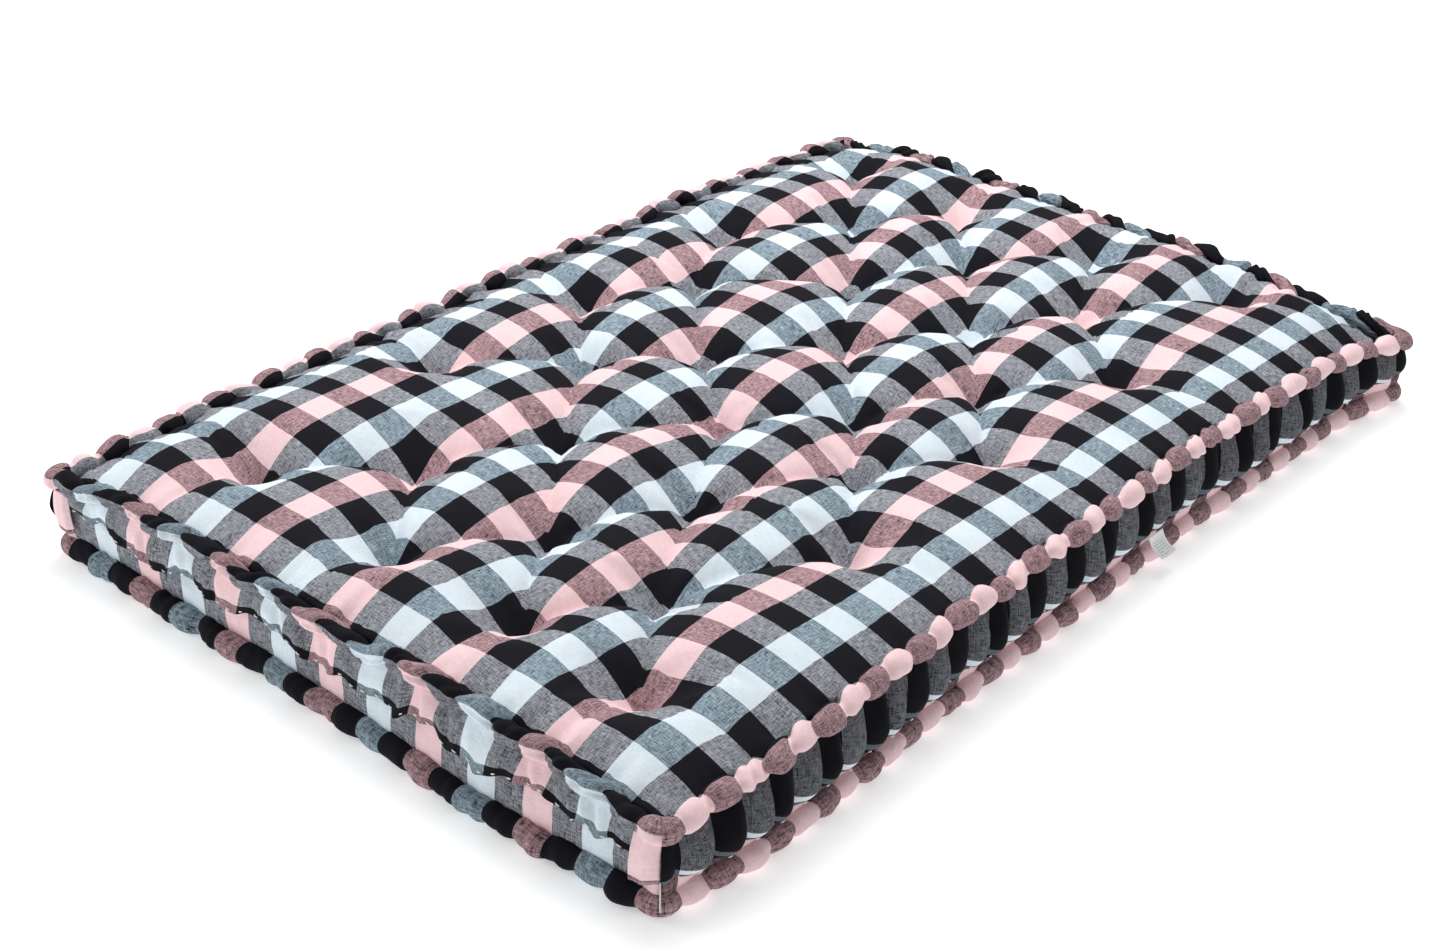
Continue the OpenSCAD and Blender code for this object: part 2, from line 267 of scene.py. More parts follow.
def tape():
    # a white woven label with faint rules across it
    board = Board("labelTape")
    place, across, down = board.pattern()
    row = ((down * 9.0) % 1) > 0.62
    inside = ((across > 0.14) * (0.86 - across > 0.0)) * ((down > 0.3) * (0.9 - down > 0.0))
    broken = board.node("TexNoise", None, {"Vector": place, "Scale": 14.0, "Detail": 1.0}) > 0.45
    tint = board.mix(row * inside * broken * 0.45, tone(253, 253, 254), tone(120, 122, 130))
    weave = board.node("TexNoise", None, {"Vector": place, "Scale": 160.0, "Detail": 2.0})
    bump = board.node("Bump", None, {"Strength": 0.4, "Distance": 0.0002, "Height": weave})
    return board.finish(Base_Color=tint, Roughness=0.5, Normal=bump, Sheen_Weight=0.1)


labelTape = tape()
threadMaterial = fibre("whiteThread", tone(244, 242, 238), 1400, (1, 1, 0.4), 0.0002, contrast=0.12)


def dress(piece, material, slot, replaced, body="mattress"):
    # a finished piece gets its material and its body, and the CAD node that it stands for is hidden
    piece.data.materials.clear()
    piece.data.materials.append(material)
    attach(piece, body)
    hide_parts(replaced)


print("materials made")

# the outline that all the pieces share
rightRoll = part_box("bottom_roll_right")
rollRadius = (rightRoll[1].z - rightRoll[0].z) / 2
sideX = rightRoll[1].x - rollRadius
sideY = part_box("bottom_roll_back")[1].y - rollRadius

body = {
    "cornerRollZ": 0.126,
    "rollBow": {"front": 0.022, "right": 0.030, "back": 0.031, "left": 0.021},
    "leftSwing": 0.005,       # the left edge dips towards the front and rises towards the back
    "sag": {("right", 1): 0.014, ("back", 1): 0.014},       # the far right corner stands lower
    "sagReach": 0.16,
    "cornerRound": 0.011,
    # how far each corner is drawn out, above and below
    "ears": {(1, 1): 0.023, (-1, -1): 0.007, (1, -1): 0.0, (-1, 1): 0.002},
    "lowEars": {(1, 1): 0.022, (-1, -1): -0.001, (1, -1): 0.0, (-1, 1): 0.0},
    "earReach": 0.085,
    "crestZ": 0.179,
    "shoulder": {"x": 0.150, "y": 0.120},
    # how the long right side runs in and out, at places from its front end to its back end
    "wander": {"far": 0.011, "from": 0.44,
               "places": [0, 0.045, 0.09, 0.15, 0.30, 0.62, 0.82, 1],
               "swing": [0, 1.1, 1.8, 1.5, 0.4, -0.75, -0.3, 0]},
    # how the foot of the front side stands out, to the right of its middle
    "lowBulge": {"out": 0.015, "at": 0.30, "reach": 0.24, "ends": 0.10},
}


def ease(t):
    t = np.clip(t, 0, 1)
    return t * t * (3 - 2 * t)


def noise1(t, size, seed):
    # a smooth random curve along a line
    cells = 4096
    table = np.random.default_rng(seed).random(cells) * 2 - 1
    at = np.asarray(t) / size + 1000
    cell = np.floor(at).astype(int)
    f = ease(at - cell)
    return table[cell % cells] * (1 - f) + table[(cell + 1) % cells] * f


def noise2(x, y, size, seed):
    # a smooth random surface over a plane
    cells = 128
    table = np.random.default_rng(seed).random((cells, cells)) * 2 - 1
    ax, ay = np.asarray(x) / size + 64, np.asarray(y) / size + 64
    cx, cy = np.floor(ax).astype(int), np.floor(ay).astype(int)
    fx, fy = ease(ax - cx), ease(ay - cy)
    at = lambda i, j: table[(cx + i) % cells, (cy + j) % cells]
    return (at(0, 0) * (1 - fx) + at(1, 0) * fx) * (1 - fy) + (at(0, 1) * (1 - fx) + at(1, 1) * fx) * fy


sides = {
    "front": {"kind": "short", "out": (0, -1), "run": (1, 0), "half": sideX, "far": sideY, "flip": False, "seed": 11},
    "right": {"kind": "long", "out": (1, 0), "run": (0, 1), "half": sideY, "far": sideX, "flip": False, "seed": 22},
    "back": {"kind": "short", "out": (0, 1), "run": (1, 0), "half": sideX, "far": sideY, "flip": True, "seed": 33},
    "left": {"kind": "long", "out": (-1, 0), "run": (0, 1), "half": sideY, "far": sideX, "flip": True, "seed": 44},
}
warpCount, weftCount = 24, 38
warpStep, weftStep = 2 * sideX / warpCount, 2 * sideY / weftCount       # one woven stripe across and along
stripeStep = {"short": warpStep, "long": weftStep}
edgeStripe = {"front": 0, "right": warpCount, "back": weftCount, "left": 0}
outward = {"front": -1, "right": 1, "back": 1, "left": -1}              # the way the stripes are counted


def wander(x, y):
    # the long right side was stuffed by hand and runs a little in and out
    way = body["wander"]
    swing = np.interp((y + sideY) / (2 * sideY), way["places"], way["swing"])
    return way["far"] * swing * ease((x - way["from"]) / (sideX - way["from"]))


def cornerNear(name, along, reach):
    # 1 at the ends of a side, and fading to 0 away from them
    return np.exp(-((sides[name]["half"] - np.abs(along)) / reach) ** 2)


def rail(name, t, ears="ears"):
    # a point and the outward direction for each t, 0 to 1, from corner to corner of one side
    side = sides[name]
    out, run = np.array(side["out"], float), np.array(side["run"], float)
    half, far, r = side["half"], side["far"], body["cornerRound"]
    straight, arc = 2 * (half - r), r * math.pi / 4
    s = np.asarray(t, float) * (straight + 2 * arc) - arc
    along = np.clip(s, 0, straight) - straight / 2
    angle = np.where(s < 0, s / r, np.where(s > straight, (s - straight) / r, 0))
    facing = np.cos(angle)[:, None] * out + np.sin(angle)[:, None] * run
    point = along[:, None] * run + (far - r) * out + r * facing
    reachAlong = point @ run
    point[:, 0] += wander(point[:, 0], point[:, 1])
    for (xSign, ySign), drawn in body[ears].items():
        corner = np.array([xSign * sideX, ySign * sideY])
        near = np.exp(-(np.linalg.norm(point - corner, axis=1) / body["earReach"]) ** 2)
        point += (drawn * near)[:, None] * np.array([xSign, ySign])
    return point, facing, reachAlong


def lowRail(name, t, up=0.0):
    # the same at the foot of a side; with up from 0 to 1 it moves to the upper line
    point, facing, along = rail(name, t, "lowEars")
    if name == "front":
        foot = body["lowBulge"]
        bulge = foot["out"] * np.exp(-((along - foot["at"]) / foot["reach"]) ** 2)
        point += facing * (bulge * ease((sideX - np.abs(along)) / foot["ends"]))[:, None]
    upper = rail(name, t)[0]
    return point + (upper - point) * (np.zeros(len(along)) + up)[:, None], facing, along


def rollHeight(name, along):
    # the middle line of an upper roll, which bows up between its corners
    half = sides[name]["half"]
    share = np.clip(along / half, -1, 1)
    height = body["cornerRollZ"] + body["rollBow"][name] * (1 - np.abs(share) ** 4)
    if name == "left":
        height = height + body["leftSwing"] * np.sin(np.pi * share)
    for (side, end), drop in body["sag"].items():
        if side == name:
            height = height - drop * np.exp(-((along - end * half) / body["sagReach"]) ** 2)
    return height


def stripeAt(name, along):
    # which woven stripe a place along a side falls in
    return (along + sides[name]["half"]) / stripeStep[sides[name]["kind"]]


def standing(point, facing, out, z):
    # a place that stands out from the outline by out, at the height z
    return np.column_stack([point + facing * out[:, None], z])


def patternOn(name, outwards, lengthwise):
    # the two stripe counts of a side, in the order of the pattern map
    return (outwards, lengthwise) if sides[name]["kind"] == "long" else (lengthwise, outwards)


def points(mesh):
    flat = np.empty(len(mesh.vertices) * 3)
    mesh.vertices.foreach_get("co", flat)
    return flat.reshape(-1, 3)


def editAll():
    bpy.ops.object.mode_set(mode="EDIT")
    bpy.ops.mesh.select_all(action="SELECT")


def selectRims():
    bpy.ops.mesh.select_all(action="DESELECT")
    bpy.ops.mesh.select_non_manifold(extend=False, use_wire=False, use_multi_face=False,
                                     use_non_contiguous=False, use_verts=False)


def fillRims():
    # the selected rims are filled and all faces turned outward
    bpy.ops.mesh.edge_face_add()
    bpy.ops.mesh.select_all(action="SELECT")
    bpy.ops.mesh.normals_make_consistent(inside=False)
    bpy.ops.object.mode_set(mode="OBJECT")


def clothGrid(name, across, along, place, stripes, flip=False, close=False):
    # a grid laid by place(s, t), with the pattern laid by stripes(s, t); s and t go from 0 to 1
    bpy.ops.object.select_all(action="DESELECT")
    bpy.ops.mesh.primitive_grid_add(x_subdivisions=across, y_subdivisions=along, size=1, calc_uvs=True)
    piece = bpy.context.object
    piece.name = piece.data.name = name
    mesh = piece.data
    s, t = points(mesh)[:, 0] + 0.5, points(mesh)[:, 1] + 0.5
    mesh.vertices.foreach_set("co", np.asarray(place(s, t), float).ravel())
    index = np.empty(len(mesh.loops), int)
    mesh.loops.foreach_get("vertex_index", index)
    pattern = np.stack(stripes(s, t), axis=1)[index]
    layer = mesh.uv_layers[0]
    layer.name = "stripes"
    layer.data.foreach_set("uv", pattern.ravel())
    if flip:
        mesh.flip_normals()
    if close:
        editAll()
        bpy.ops.mesh.remove_doubles(threshold=1e-6)
        selectRims()
        fillRims()
    mesh.shade_smooth()
    for face in mesh.polygons:
        if len(face.vertices) > 4:      # the end caps stay flat
            face.use_smooth = False
    mesh.update()
    return piece


def thicken(piece, thickness, offset=-1):
    wall = piece.modifiers.new("wall", "SOLIDIFY")
    wall.thickness, wall.offset = thickness, offset
    bpy.context.view_layer.objects.active = piece
    bpy.ops.object.modifier_apply(modifier="wall")
    piece.data.shade_smooth()


def joined(parts, name):
    # several meshes made one piece
    bpy.ops.object.select_all(action="DESELECT")
    for part in parts:
        part.select_set(True)
    bpy.context.view_layer.objects.active = parts[0]
    bpy.ops.object.join()
    parts[0].name = parts[0].data.name = name
    return parts[0]


# the loose thread at the front right corner, its route in millimetres
tail = {
    "width": 0.0018,
    "route": [(599, -929, 59.4), (599.6, -929.6, 58), (600.6, -930.6, 56), (601.8, -931.8, 53.6),
              (602.8, -932.8, 51), (603.6, -933.6, 48), (604.2, -934.2, 45), (604.8, -934.8, 42),
              (605.4, -935.4, 39), (606, -936, 36), (606.6, -936.6, 33), (607.2, -937.2, 30),
              (607.8, -937.8, 27.4), (608.4, -938.4, 25), (609, -939, 23)],
}
tailPoints = [tuple(v / 1000 for v in p) for p in tail["route"]]
tailLength = sum(math.dist(a, b) for a, b in zip(tailPoints, tailPoints[1:]))
tailCurve = bpy.data.curves.new("looseThread", "CURVE")
tailCurve.dimensions = "3D"
tailCurve.bevel_depth, tailCurve.bevel_resolution = tail["width"] / 2, 2
tailCurve.use_fill_caps = True
tailLine = tailCurve.splines.new("POLY")
tailLine.points.add(len(tailPoints) - 1)
for point, place in zip(tailLine.points, tailPoints):
    point.co = (*place, 1)
looseThread = bpy.data.objects.new("looseThread", tailCurve)
bpy.context.scene.collection.objects.link(looseThread)
dress(looseThread, threadMaterial, "sewing_thread", "thread_tail")
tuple(tailPoints[0])
print("loose thread:", round(tailLength * 1000), "mm")

tuft = {
    "apart": 0.02,            # points nearer than this belong to one tie
    "row": 0.192,
    "pull": 0.011,            # how far the cloth is pulled in round each tie
}


def tuftSpots():
    # the middle of each tie, read from the CAD node
    found = []
    for vertex in nodes["tuft_ties"].data.vertices:
        spot = np.array(vertex.co[:2])
        if all(np.hypot(*(spot - np.mean(g, axis=0))) > tuft["apart"] for g in found):
            found.append([spot])
        else:
            min(found, key=lambda g: np.hypot(*(spot - g[0]))).append(spot)
    spots = [(np.min(g, axis=0) + np.max(g, axis=0)) / 2 for g in found]
    return sorted(spots, key=lambda p: (round(p[1] / tuft["row"]), p[0]))


tufts = np.array(tuftSpots())
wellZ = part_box("tuft_ties")[1].z - tuft["pull"]
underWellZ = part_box("tuft_ties")[0].z
print("tufts:", len(tufts))


def nearestTuft(x, y):
    return np.min(np.hypot(x[:, None] - tufts[:, 0], y[:, None] - tufts[:, 1]), axis=1)


# the tufted top
top = {
    "step": 0.0075,
    "tuckIn": 0.010,          # how far the face is tucked in beside the roll
    "valley": 0.032,          # dip along the creases between two tufts
    "tuftDip": 0.080,         # dip at a tuft
    "tuftReach": 0.046,       # how fast the crease deepens towards a tuft
    "reach": 0.116,           # from a crease to the crest of a pillow
    "pit": 0.120,             # how wide the pull of one tuft is
    "edgeValley": 0.010,
    "edgeReach": 0.080,
    "pair": {"across": 0.225, "along": (0.1, 0.29)},        # tufts this near have a crease between them
    "toEdge": 0.24,           # and a tuft this near to an edge has one that runs to it
    # the cloth is gathered where it runs into a roll
    "gather": {"high": 0.0070, "fade": 0.036, "wide": 0.021, "narrow": 0.010},
    "pleat": {"high": 0.0013, "from": 0.030, "reach": 0.020},
    "crestLumps": {0.21: 0.005, 0.07: 0.002},               # size of a lump, and how high it is
    "thickness": 0.0014,
}
faceX, faceY = sideX - top["tuckIn"], sideY - top["tuckIn"]


def creaseLines():
    # from tuft to tuft and from the outer tufts to the edges
    lines = []
    nearest, farthest = top["pair"]["along"]
    for i, a in enumerate(tufts):
        for b in tufts[i + 1:]:
            across, along = abs(a - b)
            if across < top["pair"]["across"] and nearest < along < farthest:
                lines.append((a, b, True))
    for a in tufts:
        if faceX - abs(a[0]) < top["toEdge"]:
            lines.append((a, np.array([math.copysign(faceX, a[0]), a[1]]), False))
        if faceY - abs(a[1]) < top["toEdge"]:
            lines.append((a, np.array([a[0], math.copysign(faceY, a[1])]), False))
    return lines


def dipAt(x, y):
    # how far the creases and the tufts draw the cloth in
    dip = np.zeros(len(x))
    for a, b, inner in creaseLines():
        way = b - a
        long = np.hypot(*way)
        t = np.clip(((x - a[0]) * way[0] + (y - a[1]) * way[1]) / long ** 2, 0, 1)
        off = np.hypot(x - a[0] - t * way[0], y - a[1] - t * way[1])
        if inner:
            fromTuft = np.minimum(t, 1 - t) * long
            depth = top["valley"] + (top["tuftDip"] - top["valley"]) * np.exp(-fromTuft / top["tuftReach"])
            reach = top["reach"]
        else:
            fromTuft = t * long
            depth = (top["edgeValley"] * (1 - 0.6 * t)
                     + (top["tuftDip"] - top["edgeValley"]) * np.exp(-fromTuft / (top["tuftReach"] * 0.9)))
            reach = top["edgeReach"]
        q = np.clip(off / reach, 0, 1)
        shape = 1 - (1 - (1 - q) ** 2.1) ** 0.74
        dip = np.maximum(dip, depth * shape)
    pit = 0.96 * top["tuftDip"] * (1 - np.clip(nearestTuft(x, y) / top["pit"], 0, 1)) ** 2.0
    return np.maximum(dip, pit)


def rimHeight(x, y):
    # the height of the nearest roll's centre, blended near the corners
    total, weight = np.zeros(len(x)), np.zeros(len(x))
    for name, side in sides.items():
        along = x if side["kind"] == "short" else y
        out = side["out"]
        gap = side["far"] - (x * out[0] + y * out[1])
        w = 1 / (np.maximum(gap, 0) + 0.004) ** 2
        total += w * rollHeight(name, along)
        weight += w
    return total / weight


def gathers(along, gap, seed):
    gather = top["gather"]
    fade = np.exp(-np.maximum(gap, 0) / gather["fade"]) * ease(gap / 0.006)
    folds = noise1(along, gather["wide"], seed) + 0.6 * noise1(along, gather["narrow"], seed + 5)
    return gather["high"] * fade * folds


def pleats(x, y):
    # small folds that run into each tuft
    lift = np.zeros(len(x))
    for k, (tuftX, tuftY) in enumerate(tufts):
        away = np.hypot(x - tuftX, y - tuftY)
        angle = np.arctan2(y - tuftY, x - tuftX)
        wave = np.sin(7 * angle + 2.1 * k) + 0.7 * np.sin(11 * angle + 1.3 * k)
        lift += top["pleat"]["high"] * wave * np.exp(-((away - top["pleat"]["from"]) / top["pleat"]["reach"]) ** 2)
    return lift


def topSurface(x, y):
    rim = rimHeight(x, y) + 0.001
    gapX, gapY = faceX - np.abs(x), faceY - np.abs(y)
    rise = lambda gap, reach, power: 1 - (1 - np.clip(gap / reach, 0, 1)) ** power
    crown = rise(gapX, body["shoulder"]["x"], 2.0) * rise(gapY, body["shoulder"]["y"], 2.2)
    crest = body["crestZ"] + sum(high * noise2(x, y, size, 5 + k)
                                 for k, (size, high) in enumerate(top["crestLumps"].items()))
    lift = ease(np.minimum(gapX, gapY) / 0.06)
    surface = rim + (crest - rim) * crown
    surface += gathers(x, gapY, 71) + gathers(y, gapX, 72) + pleats(x, y)
    return surface - (surface - wellZ) * np.minimum(dipAt(x, y) / top["tuftDip"], 1) * lift


def topPlace(s, t):
    x, y = (2 * s - 1) * faceX, (2 * t - 1) * faceY
    z = topSurface(x, y)
    return np.stack([x + wander(x, y), y, z], axis=1)


def topStripes(s, t):
    return 0.5 + 23 * s, 0.25 + 37.5 * t


puff = {
    "frames": 22,
    "slack": 1.02,            # how much longer the cloth is than the shape it starts from
    "cap": 0.0065,            # no point moves farther than this
    "heldRim": 0.003,
    "heldTuft": 0.0075,
    "settings": {"quality": 4, "mass": 0.25, "tension_stiffness": 12, "compression_stiffness": 12,
                 "shear_stiffness": 6, "bending_stiffness": 0.35, "tension_damping": 6, "compression_damping": 6,
                 "shear_damping": 6, "air_damping": 4, "vertex_group_mass": "held", "pin_stiffness": 1,
                 "use_pressure": True, "uniform_pressure_force": 2.4},
}


def puffUp(piece):
    # the stuffed face is blown up as cloth that is held at its tufts and its rim
    mesh = piece.data
    start = points(mesh)
    held = piece.vertex_groups.new(name="held")
    s = start[:, 0] - wander(start[:, 0], start[:, 1])
    rim = (faceX - np.abs(s) < puff["heldRim"]) | (faceY - np.abs(start[:, 1]) < puff["heldRim"])
    near = nearestTuft(start[:, 0], start[:, 1]) < puff["heldTuft"]
    held.add([int(i) for i in np.flatnonzero(rim | near)], 1.0, "REPLACE")
    loose = piece.modifiers.new("loose", "CLOTH")
    for name, value in puff["settings"].items():
        setattr(loose.settings, name, value)
    loose.settings.shrink_min = loose.settings.shrink_max = 1 - puff["slack"]
    loose.settings.effector_weights.gravity = 0
    loose.collision_settings.use_collision = False
    loose.point_cache.frame_start, loose.point_cache.frame_end = 1, puff["frames"]
    for step in range(1, puff["frames"] + 1):
        scene.frame_set(step)
    blown = piece.evaluated_get(bpy.context.evaluated_depsgraph_get())
    end = points(blown.data)
    piece.modifiers.remove(loose)
    scene.frame_set(1)
    moved = end - start
    far = np.linalg.norm(moved, axis=1)
    print("cloth moved up to", round(float(far.max()) * 1000, 1), "mm, mean", round(float(far.mean()) * 1000, 1))
    inside = np.minimum(sideX - np.abs(s), sideY - np.abs(start[:, 1]))
    cap = puff["cap"] * (0.25 + 0.75 * ease(inside / 0.10))
    moved *= (np.minimum(far, cap) / np.maximum(far, 1e-9))[:, None]
    mesh.vertices.foreach_set("co", (start + moved).ravel())
    piece.vertex_groups.clear()
    mesh.update()


topAcross = round(2 * sideX / top["step"])
topAlong = round(2 * sideY / top["step"])
topPanel = clothGrid("topPanel", topAcross, topAlong, topPlace, topStripes)
print("top face laid:", len(topPanel.data.vertices), "points")
puffUp(topPanel)
faceGrid = points(topPanel.data).reshape(topAlong + 1, topAcross + 1, 3)
thicken(topPanel, top["thickness"])

# the rolls along the edges
roll = {
    "radius": 0.0162,
    "step": 0.003,
    "around": 30,
    "seam": -160,             # degrees from outward, where the cloth of a roll meets
    # how full each roll is stuffed
    "fat": {"top": {"front": 1.0, "right": 1.13, "back": 1.0, "left": 1.13},
            "low": {"front": 1.14, "right": 1.0, "back": 1.14, "left": 1.0}},
    # how deep its stitches draw it in, over what length, and how often a stripe has one more
    "pinch": {"top": {"front": 0.46, "right": 0.42, "back": 0.44, "left": 0.42},
              "low": {"front": 0.13, "right": 0.32, "back": 0.14, "left": 0.30}},
    "neck": {"short": 0.0065, "long": 0.0075},
    "split": {"short": 0.6, "long": 0.16},
    "swell": 0.11,
    "dents": {"size": 0.016, "short": 0.10, "long": 0.06},
    # the rolls swell into each other at a corner
    "corner": {"fat": 1.065, "reach": 0.022, "top": 0.16, "low": 0.03},
    # a lengthwise fold parts the short upper rolls in an upper and a lower lobe
    "fold": {"deep": 0.0042, "wide": 0.24, "at": 8, "sway": 16},
    # how far the stripes and the folds between them bow sideways over a roll
    "slant": {"top": {"short": 0.51, "long": 0.238}, "low": {"short": 0.136, "long": 0.136}},
    "lumps": {"short": 0.00756, "long": 0.0042},
    "rope": 0.0026,           # the knobs of the long rolls sit by turns a little in and a little out
    "flatBelow": {"top": 0.70, "low": 0.90},
    "rest": 0.0004,
    "stripePerTurn": 165.0,   # degrees round the roll that one stripe takes
}


def rollSeed(name, level):
    return sides[name]["seed"] + (7 if level == "top" else 70)


def knobs(name, q, level):
    # how far a roll is drawn in by its stitches and swells between them, for places counted in stripes
    kind = sides[name]["kind"]
    rng = np.random.default_rng(sides[name]["seed"] + (100 if level == "low" else 0))
    pinch = roll["pinch"][level][name]
    edges, depths = [], []
    for k in range(-3, int(math.ceil(q.max())) + 4):
        edges.append(k - 0.5 + rng.uniform(-0.10, 0.10))
        depths.append(pinch * rng.uniform(0.75, 1.2))
        if rng.random() < roll["split"][kind]:
            edges.append(k + rng.uniform(-0.12, 0.12))
            depths.append(pinch * rng.uniform(0.25, 0.7))
    edges, depths = np.array(edges), np.array(depths)
    cell = np.clip(np.searchsorted(edges, q) - 1, 0, len(edges) - 2)
    width = edges[cell + 1] - edges[cell]
    toLeft, toRight = (q - edges[cell]) * stripeStep[kind], (edges[cell + 1] - q) * stripeStep[kind]
    dent = lambda depth, gap: depth * np.exp(-(gap / roll["neck"][kind]) ** 1.6)
    groove = dent(depths[cell], toLeft) + dent(depths[cell + 1], toRight)
    share = np.clip((q - edges[cell]) / width, 0, 1)
    return groove, roll["swell"] * np.sin(np.pi * share) * np.clip(width, 0.3, 1)


def rollMiddle(name, level, along):
    # how far the stuffing has shifted outward, and the height of the middle line
    seed, kind = rollSeed(name, level), sides[name]["kind"]
    inner = 1 - cornerNear(name, along, roll["corner"]["reach"])
    sway = roll["lumps"][kind] * inner
    outShift = sway * 0.8 * noise1(along, 0.034, seed + 1)
    if level == "low":
        fat = roll["corner"]["fat"] + (roll["fat"]["low"][name] - roll["corner"]["fat"]) * inner
        return outShift, roll["radius"] * fat + 0.0006
    if kind == "long":
        turns = stripeAt(name, along) + 0.5 * noise1(along, 0.12, seed + 4)
        outShift += roll["rope"] * inner * np.sin(np.pi * turns)
    return outShift, rollHeight(name, along) + sway * noise1(along, 0.041, seed + 2)


def rollPiece(name, level, material, slot, replaced):
    seed, kind, corner = rollSeed(name, level), sides[name]["kind"], roll["corner"]
    edge = rail if level == "top" else lowRail

    def slanted(along, t):
        bow = roll["slant"][level][kind] * (0.4 + 1.3 * noise1(along, 0.05, seed + 12))
        angle = np.radians(roll["seam"] + 360 * t)
        inner = 1 - cornerNear(name, along, corner["reach"])
        return stripeAt(name, along) + bow * np.cos(angle - math.radians(40)) * inner

    def place(s, t):
        point, facing, along = edge(name, s)
        angle = np.radians(roll["seam"] + 360 * t)
        groove, swell = knobs(name, slanted(along, t), level)
        near = cornerNear(name, along, corner["reach"])
        fat = roll["fat"][level][name]
        size = roll["radius"] * (fat + (corner["fat"] - fat) * near)
        radius = size * (1 + (swell - groove) * (1 - near)) + roll["radius"] * corner[level] * near
        dents = noise2(along + 0.010 * np.sin(angle), 0.015 * np.cos(angle), roll["dents"]["size"], seed)
        radius *= 1 + roll["dents"][kind] * dents * (1 - near)
        if level == "top" and kind == "short":
            fold = roll["fold"]
            foldAt = np.radians(fold["at"] + fold["sway"] * noise1(along, 0.045, seed + 9))
            radius -= fold["deep"] * np.exp(-((angle - foldAt) / fold["wide"]) ** 2) * (1 - near)
        outShift, centreZ = rollMiddle(name, level, along)
        flat = np.where(np.sin(angle) < 0, roll["flatBelow"][level], 1.0)
        out = radius * np.cos(angle) + outShift
        return standing(point, facing, out, np.maximum(centreZ + radius * np.sin(angle) * flat, roll["rest"]))

    def stripes(s, t):
        lengthwise = slanted(rail(name, s)[2], t)
        turn = (30 - (roll["seam"] + 360 * t)) / roll["stripePerTurn"] * (1.0 if level == "top" else 0.42)
        centre = edgeStripe[name]
        if level == "top" and kind == "short":
            centre, turn = (centre - 0.5, turn) if name == "front" else (centre + 0.1, turn * 0.4)
        return patternOn(name, centre + outward[name] * turn, lengthwise)

    cuts = round(2 * sides[name]["half"] / roll["step"])
    piece = clothGrid(f"{level}Roll_{name}", cuts, roll["around"], place, stripes, close=True)
    dress(piece, material, slot, replaced)


rollDress = {"short": (shortRollCloth, "dark_edge"), "long": (longRollCloth, "pink_edge")}
for name, side in sides.items():
    rollPiece(name, "top", *rollDress[side["kind"]], f"top_roll_{name}")
    rollPiece(name, "low", *rollDress[side["kind"]], f"bottom_roll_{name}")
print("rolls made")

# the side cloth: the gathered drop of the top sheet, over the wall of the lower one
sideDress = {"short": (shortCloth, "plaid_short_side"), "long": (longCloth, "plaid_long_side")}
skirt = {
    "hem": {"front": 0.091, "right": 0.054, "back": 0.088, "left": 0.056},
    "bulge": {"short": 0.0115, "long": 0.0235},
    "flare": 0.0140,          # how far the hem of a short side stands out
    "underRoll": 0.50,        # how far under a roll's middle the cloth ends, in radii
    "thickness": 0.0014,
    "step": 0.0035,
    "rows": 18,
    "flat": {"short": 0.052, "long": 0.095},
    "fullness": 1.12,
    # stripes from the edge of the face, from the roll down to the hem
    "stripes": {"short": ([0, 0.74, 1], [1.05, 1.5, 1.9]), "long": ([0, 0.80, 0.89, 1], [0.55, 1.5, 2.5, 2.8])},
}


def flutes(name, along, t):
    # the long sides hang in round flutes, one to a stripe
    seed = sides[name]["seed"] + 300
    q = stripeAt(name, along) + 0.13 * noise1(along, 0.06, seed)
    puff = np.sin(np.pi * ((q + 0.5) % 1)) ** 0.75
    low = skirt["hem"][name] - 0.007 * puff + 0.006 * noise1(along, 0.11, seed + 1)
    vertical = np.sin(np.pi * np.clip(t, 0, 1) ** 0.9) ** 0.75
    swell = skirt["bulge"]["long"] * (1 + 0.25 * noise1(along, 0.05, seed + 6))
    out = 0.001 + (swell * puff + 0.001) * vertical
    return out + 0.0016 * noise2(along, t * 0.05, 0.011, seed + 2) * vertical, low


def ruffles(name, along, t):
    # the short sides are gathered loosely and their hem stands out
    seed, half = sides[name]["seed"] + 300, sides[name]["half"]
    low = (skirt["hem"][name] + 0.012 * noise1(along, 0.070, seed + 1)
           + 0.008 * noise1(along, 0.022, seed + 3))
    ripple = 0.5 + 0.5 * noise1(along + 0.016 * t, 0.014, seed + 4)
    out = skirt["bulge"]["short"] * ripple * np.sin(np.pi * np.clip(t, 0.03, 1))
    out += skirt["flare"] * (0.5 + 0.5 * noise1(along, 0.017, seed + 5)) * (1 - t) ** 1.6
    flat = np.exp(-(np.maximum(half - np.abs(along) - 0.02, 0) / 0.025) ** 2)
    return 0.003 + 0.005 * (1 - t) ** 1.5 + out * (1 - 0.8 * flat), low


def skirtPiece(name):
    side = sides[name]
    kind = side["kind"]

    def shape(s, t):
        # t is 0 at the hem and 1 under the roll
        point, facing, along = lowRail(name, s, 0.5 + 0.5 * t)
        out, low = (flutes if kind == "long" else ruffles)(name, along, t)
        high = rollMiddle(name, "top", along)[1] - roll["radius"] * skirt["underRoll"]
        return point, facing, out * (1 - 0.3 * cornerNear(name, along, 0.03)), low + (high - low) * t

    def place(s, t):
        return standing(*shape(s, t))

    def stripes(s, t):
        down = np.interp(1 - t, *skirt["stripes"][kind])
        return patternOn(name, edgeStripe[name] + outward[name] * down, stripeAt(name, rail(name, s)[2]))

    cuts = round(2 * side["half"] / skirt["step"])
    piece = clothGrid(f"skirt_{name}", cuts, skirt["rows"], place, stripes, flip=side["flip"])
    thicken(piece, skirt["thickness"])
    dress(piece, *sideDress[kind], f"top_drop_{name}")
    return shape


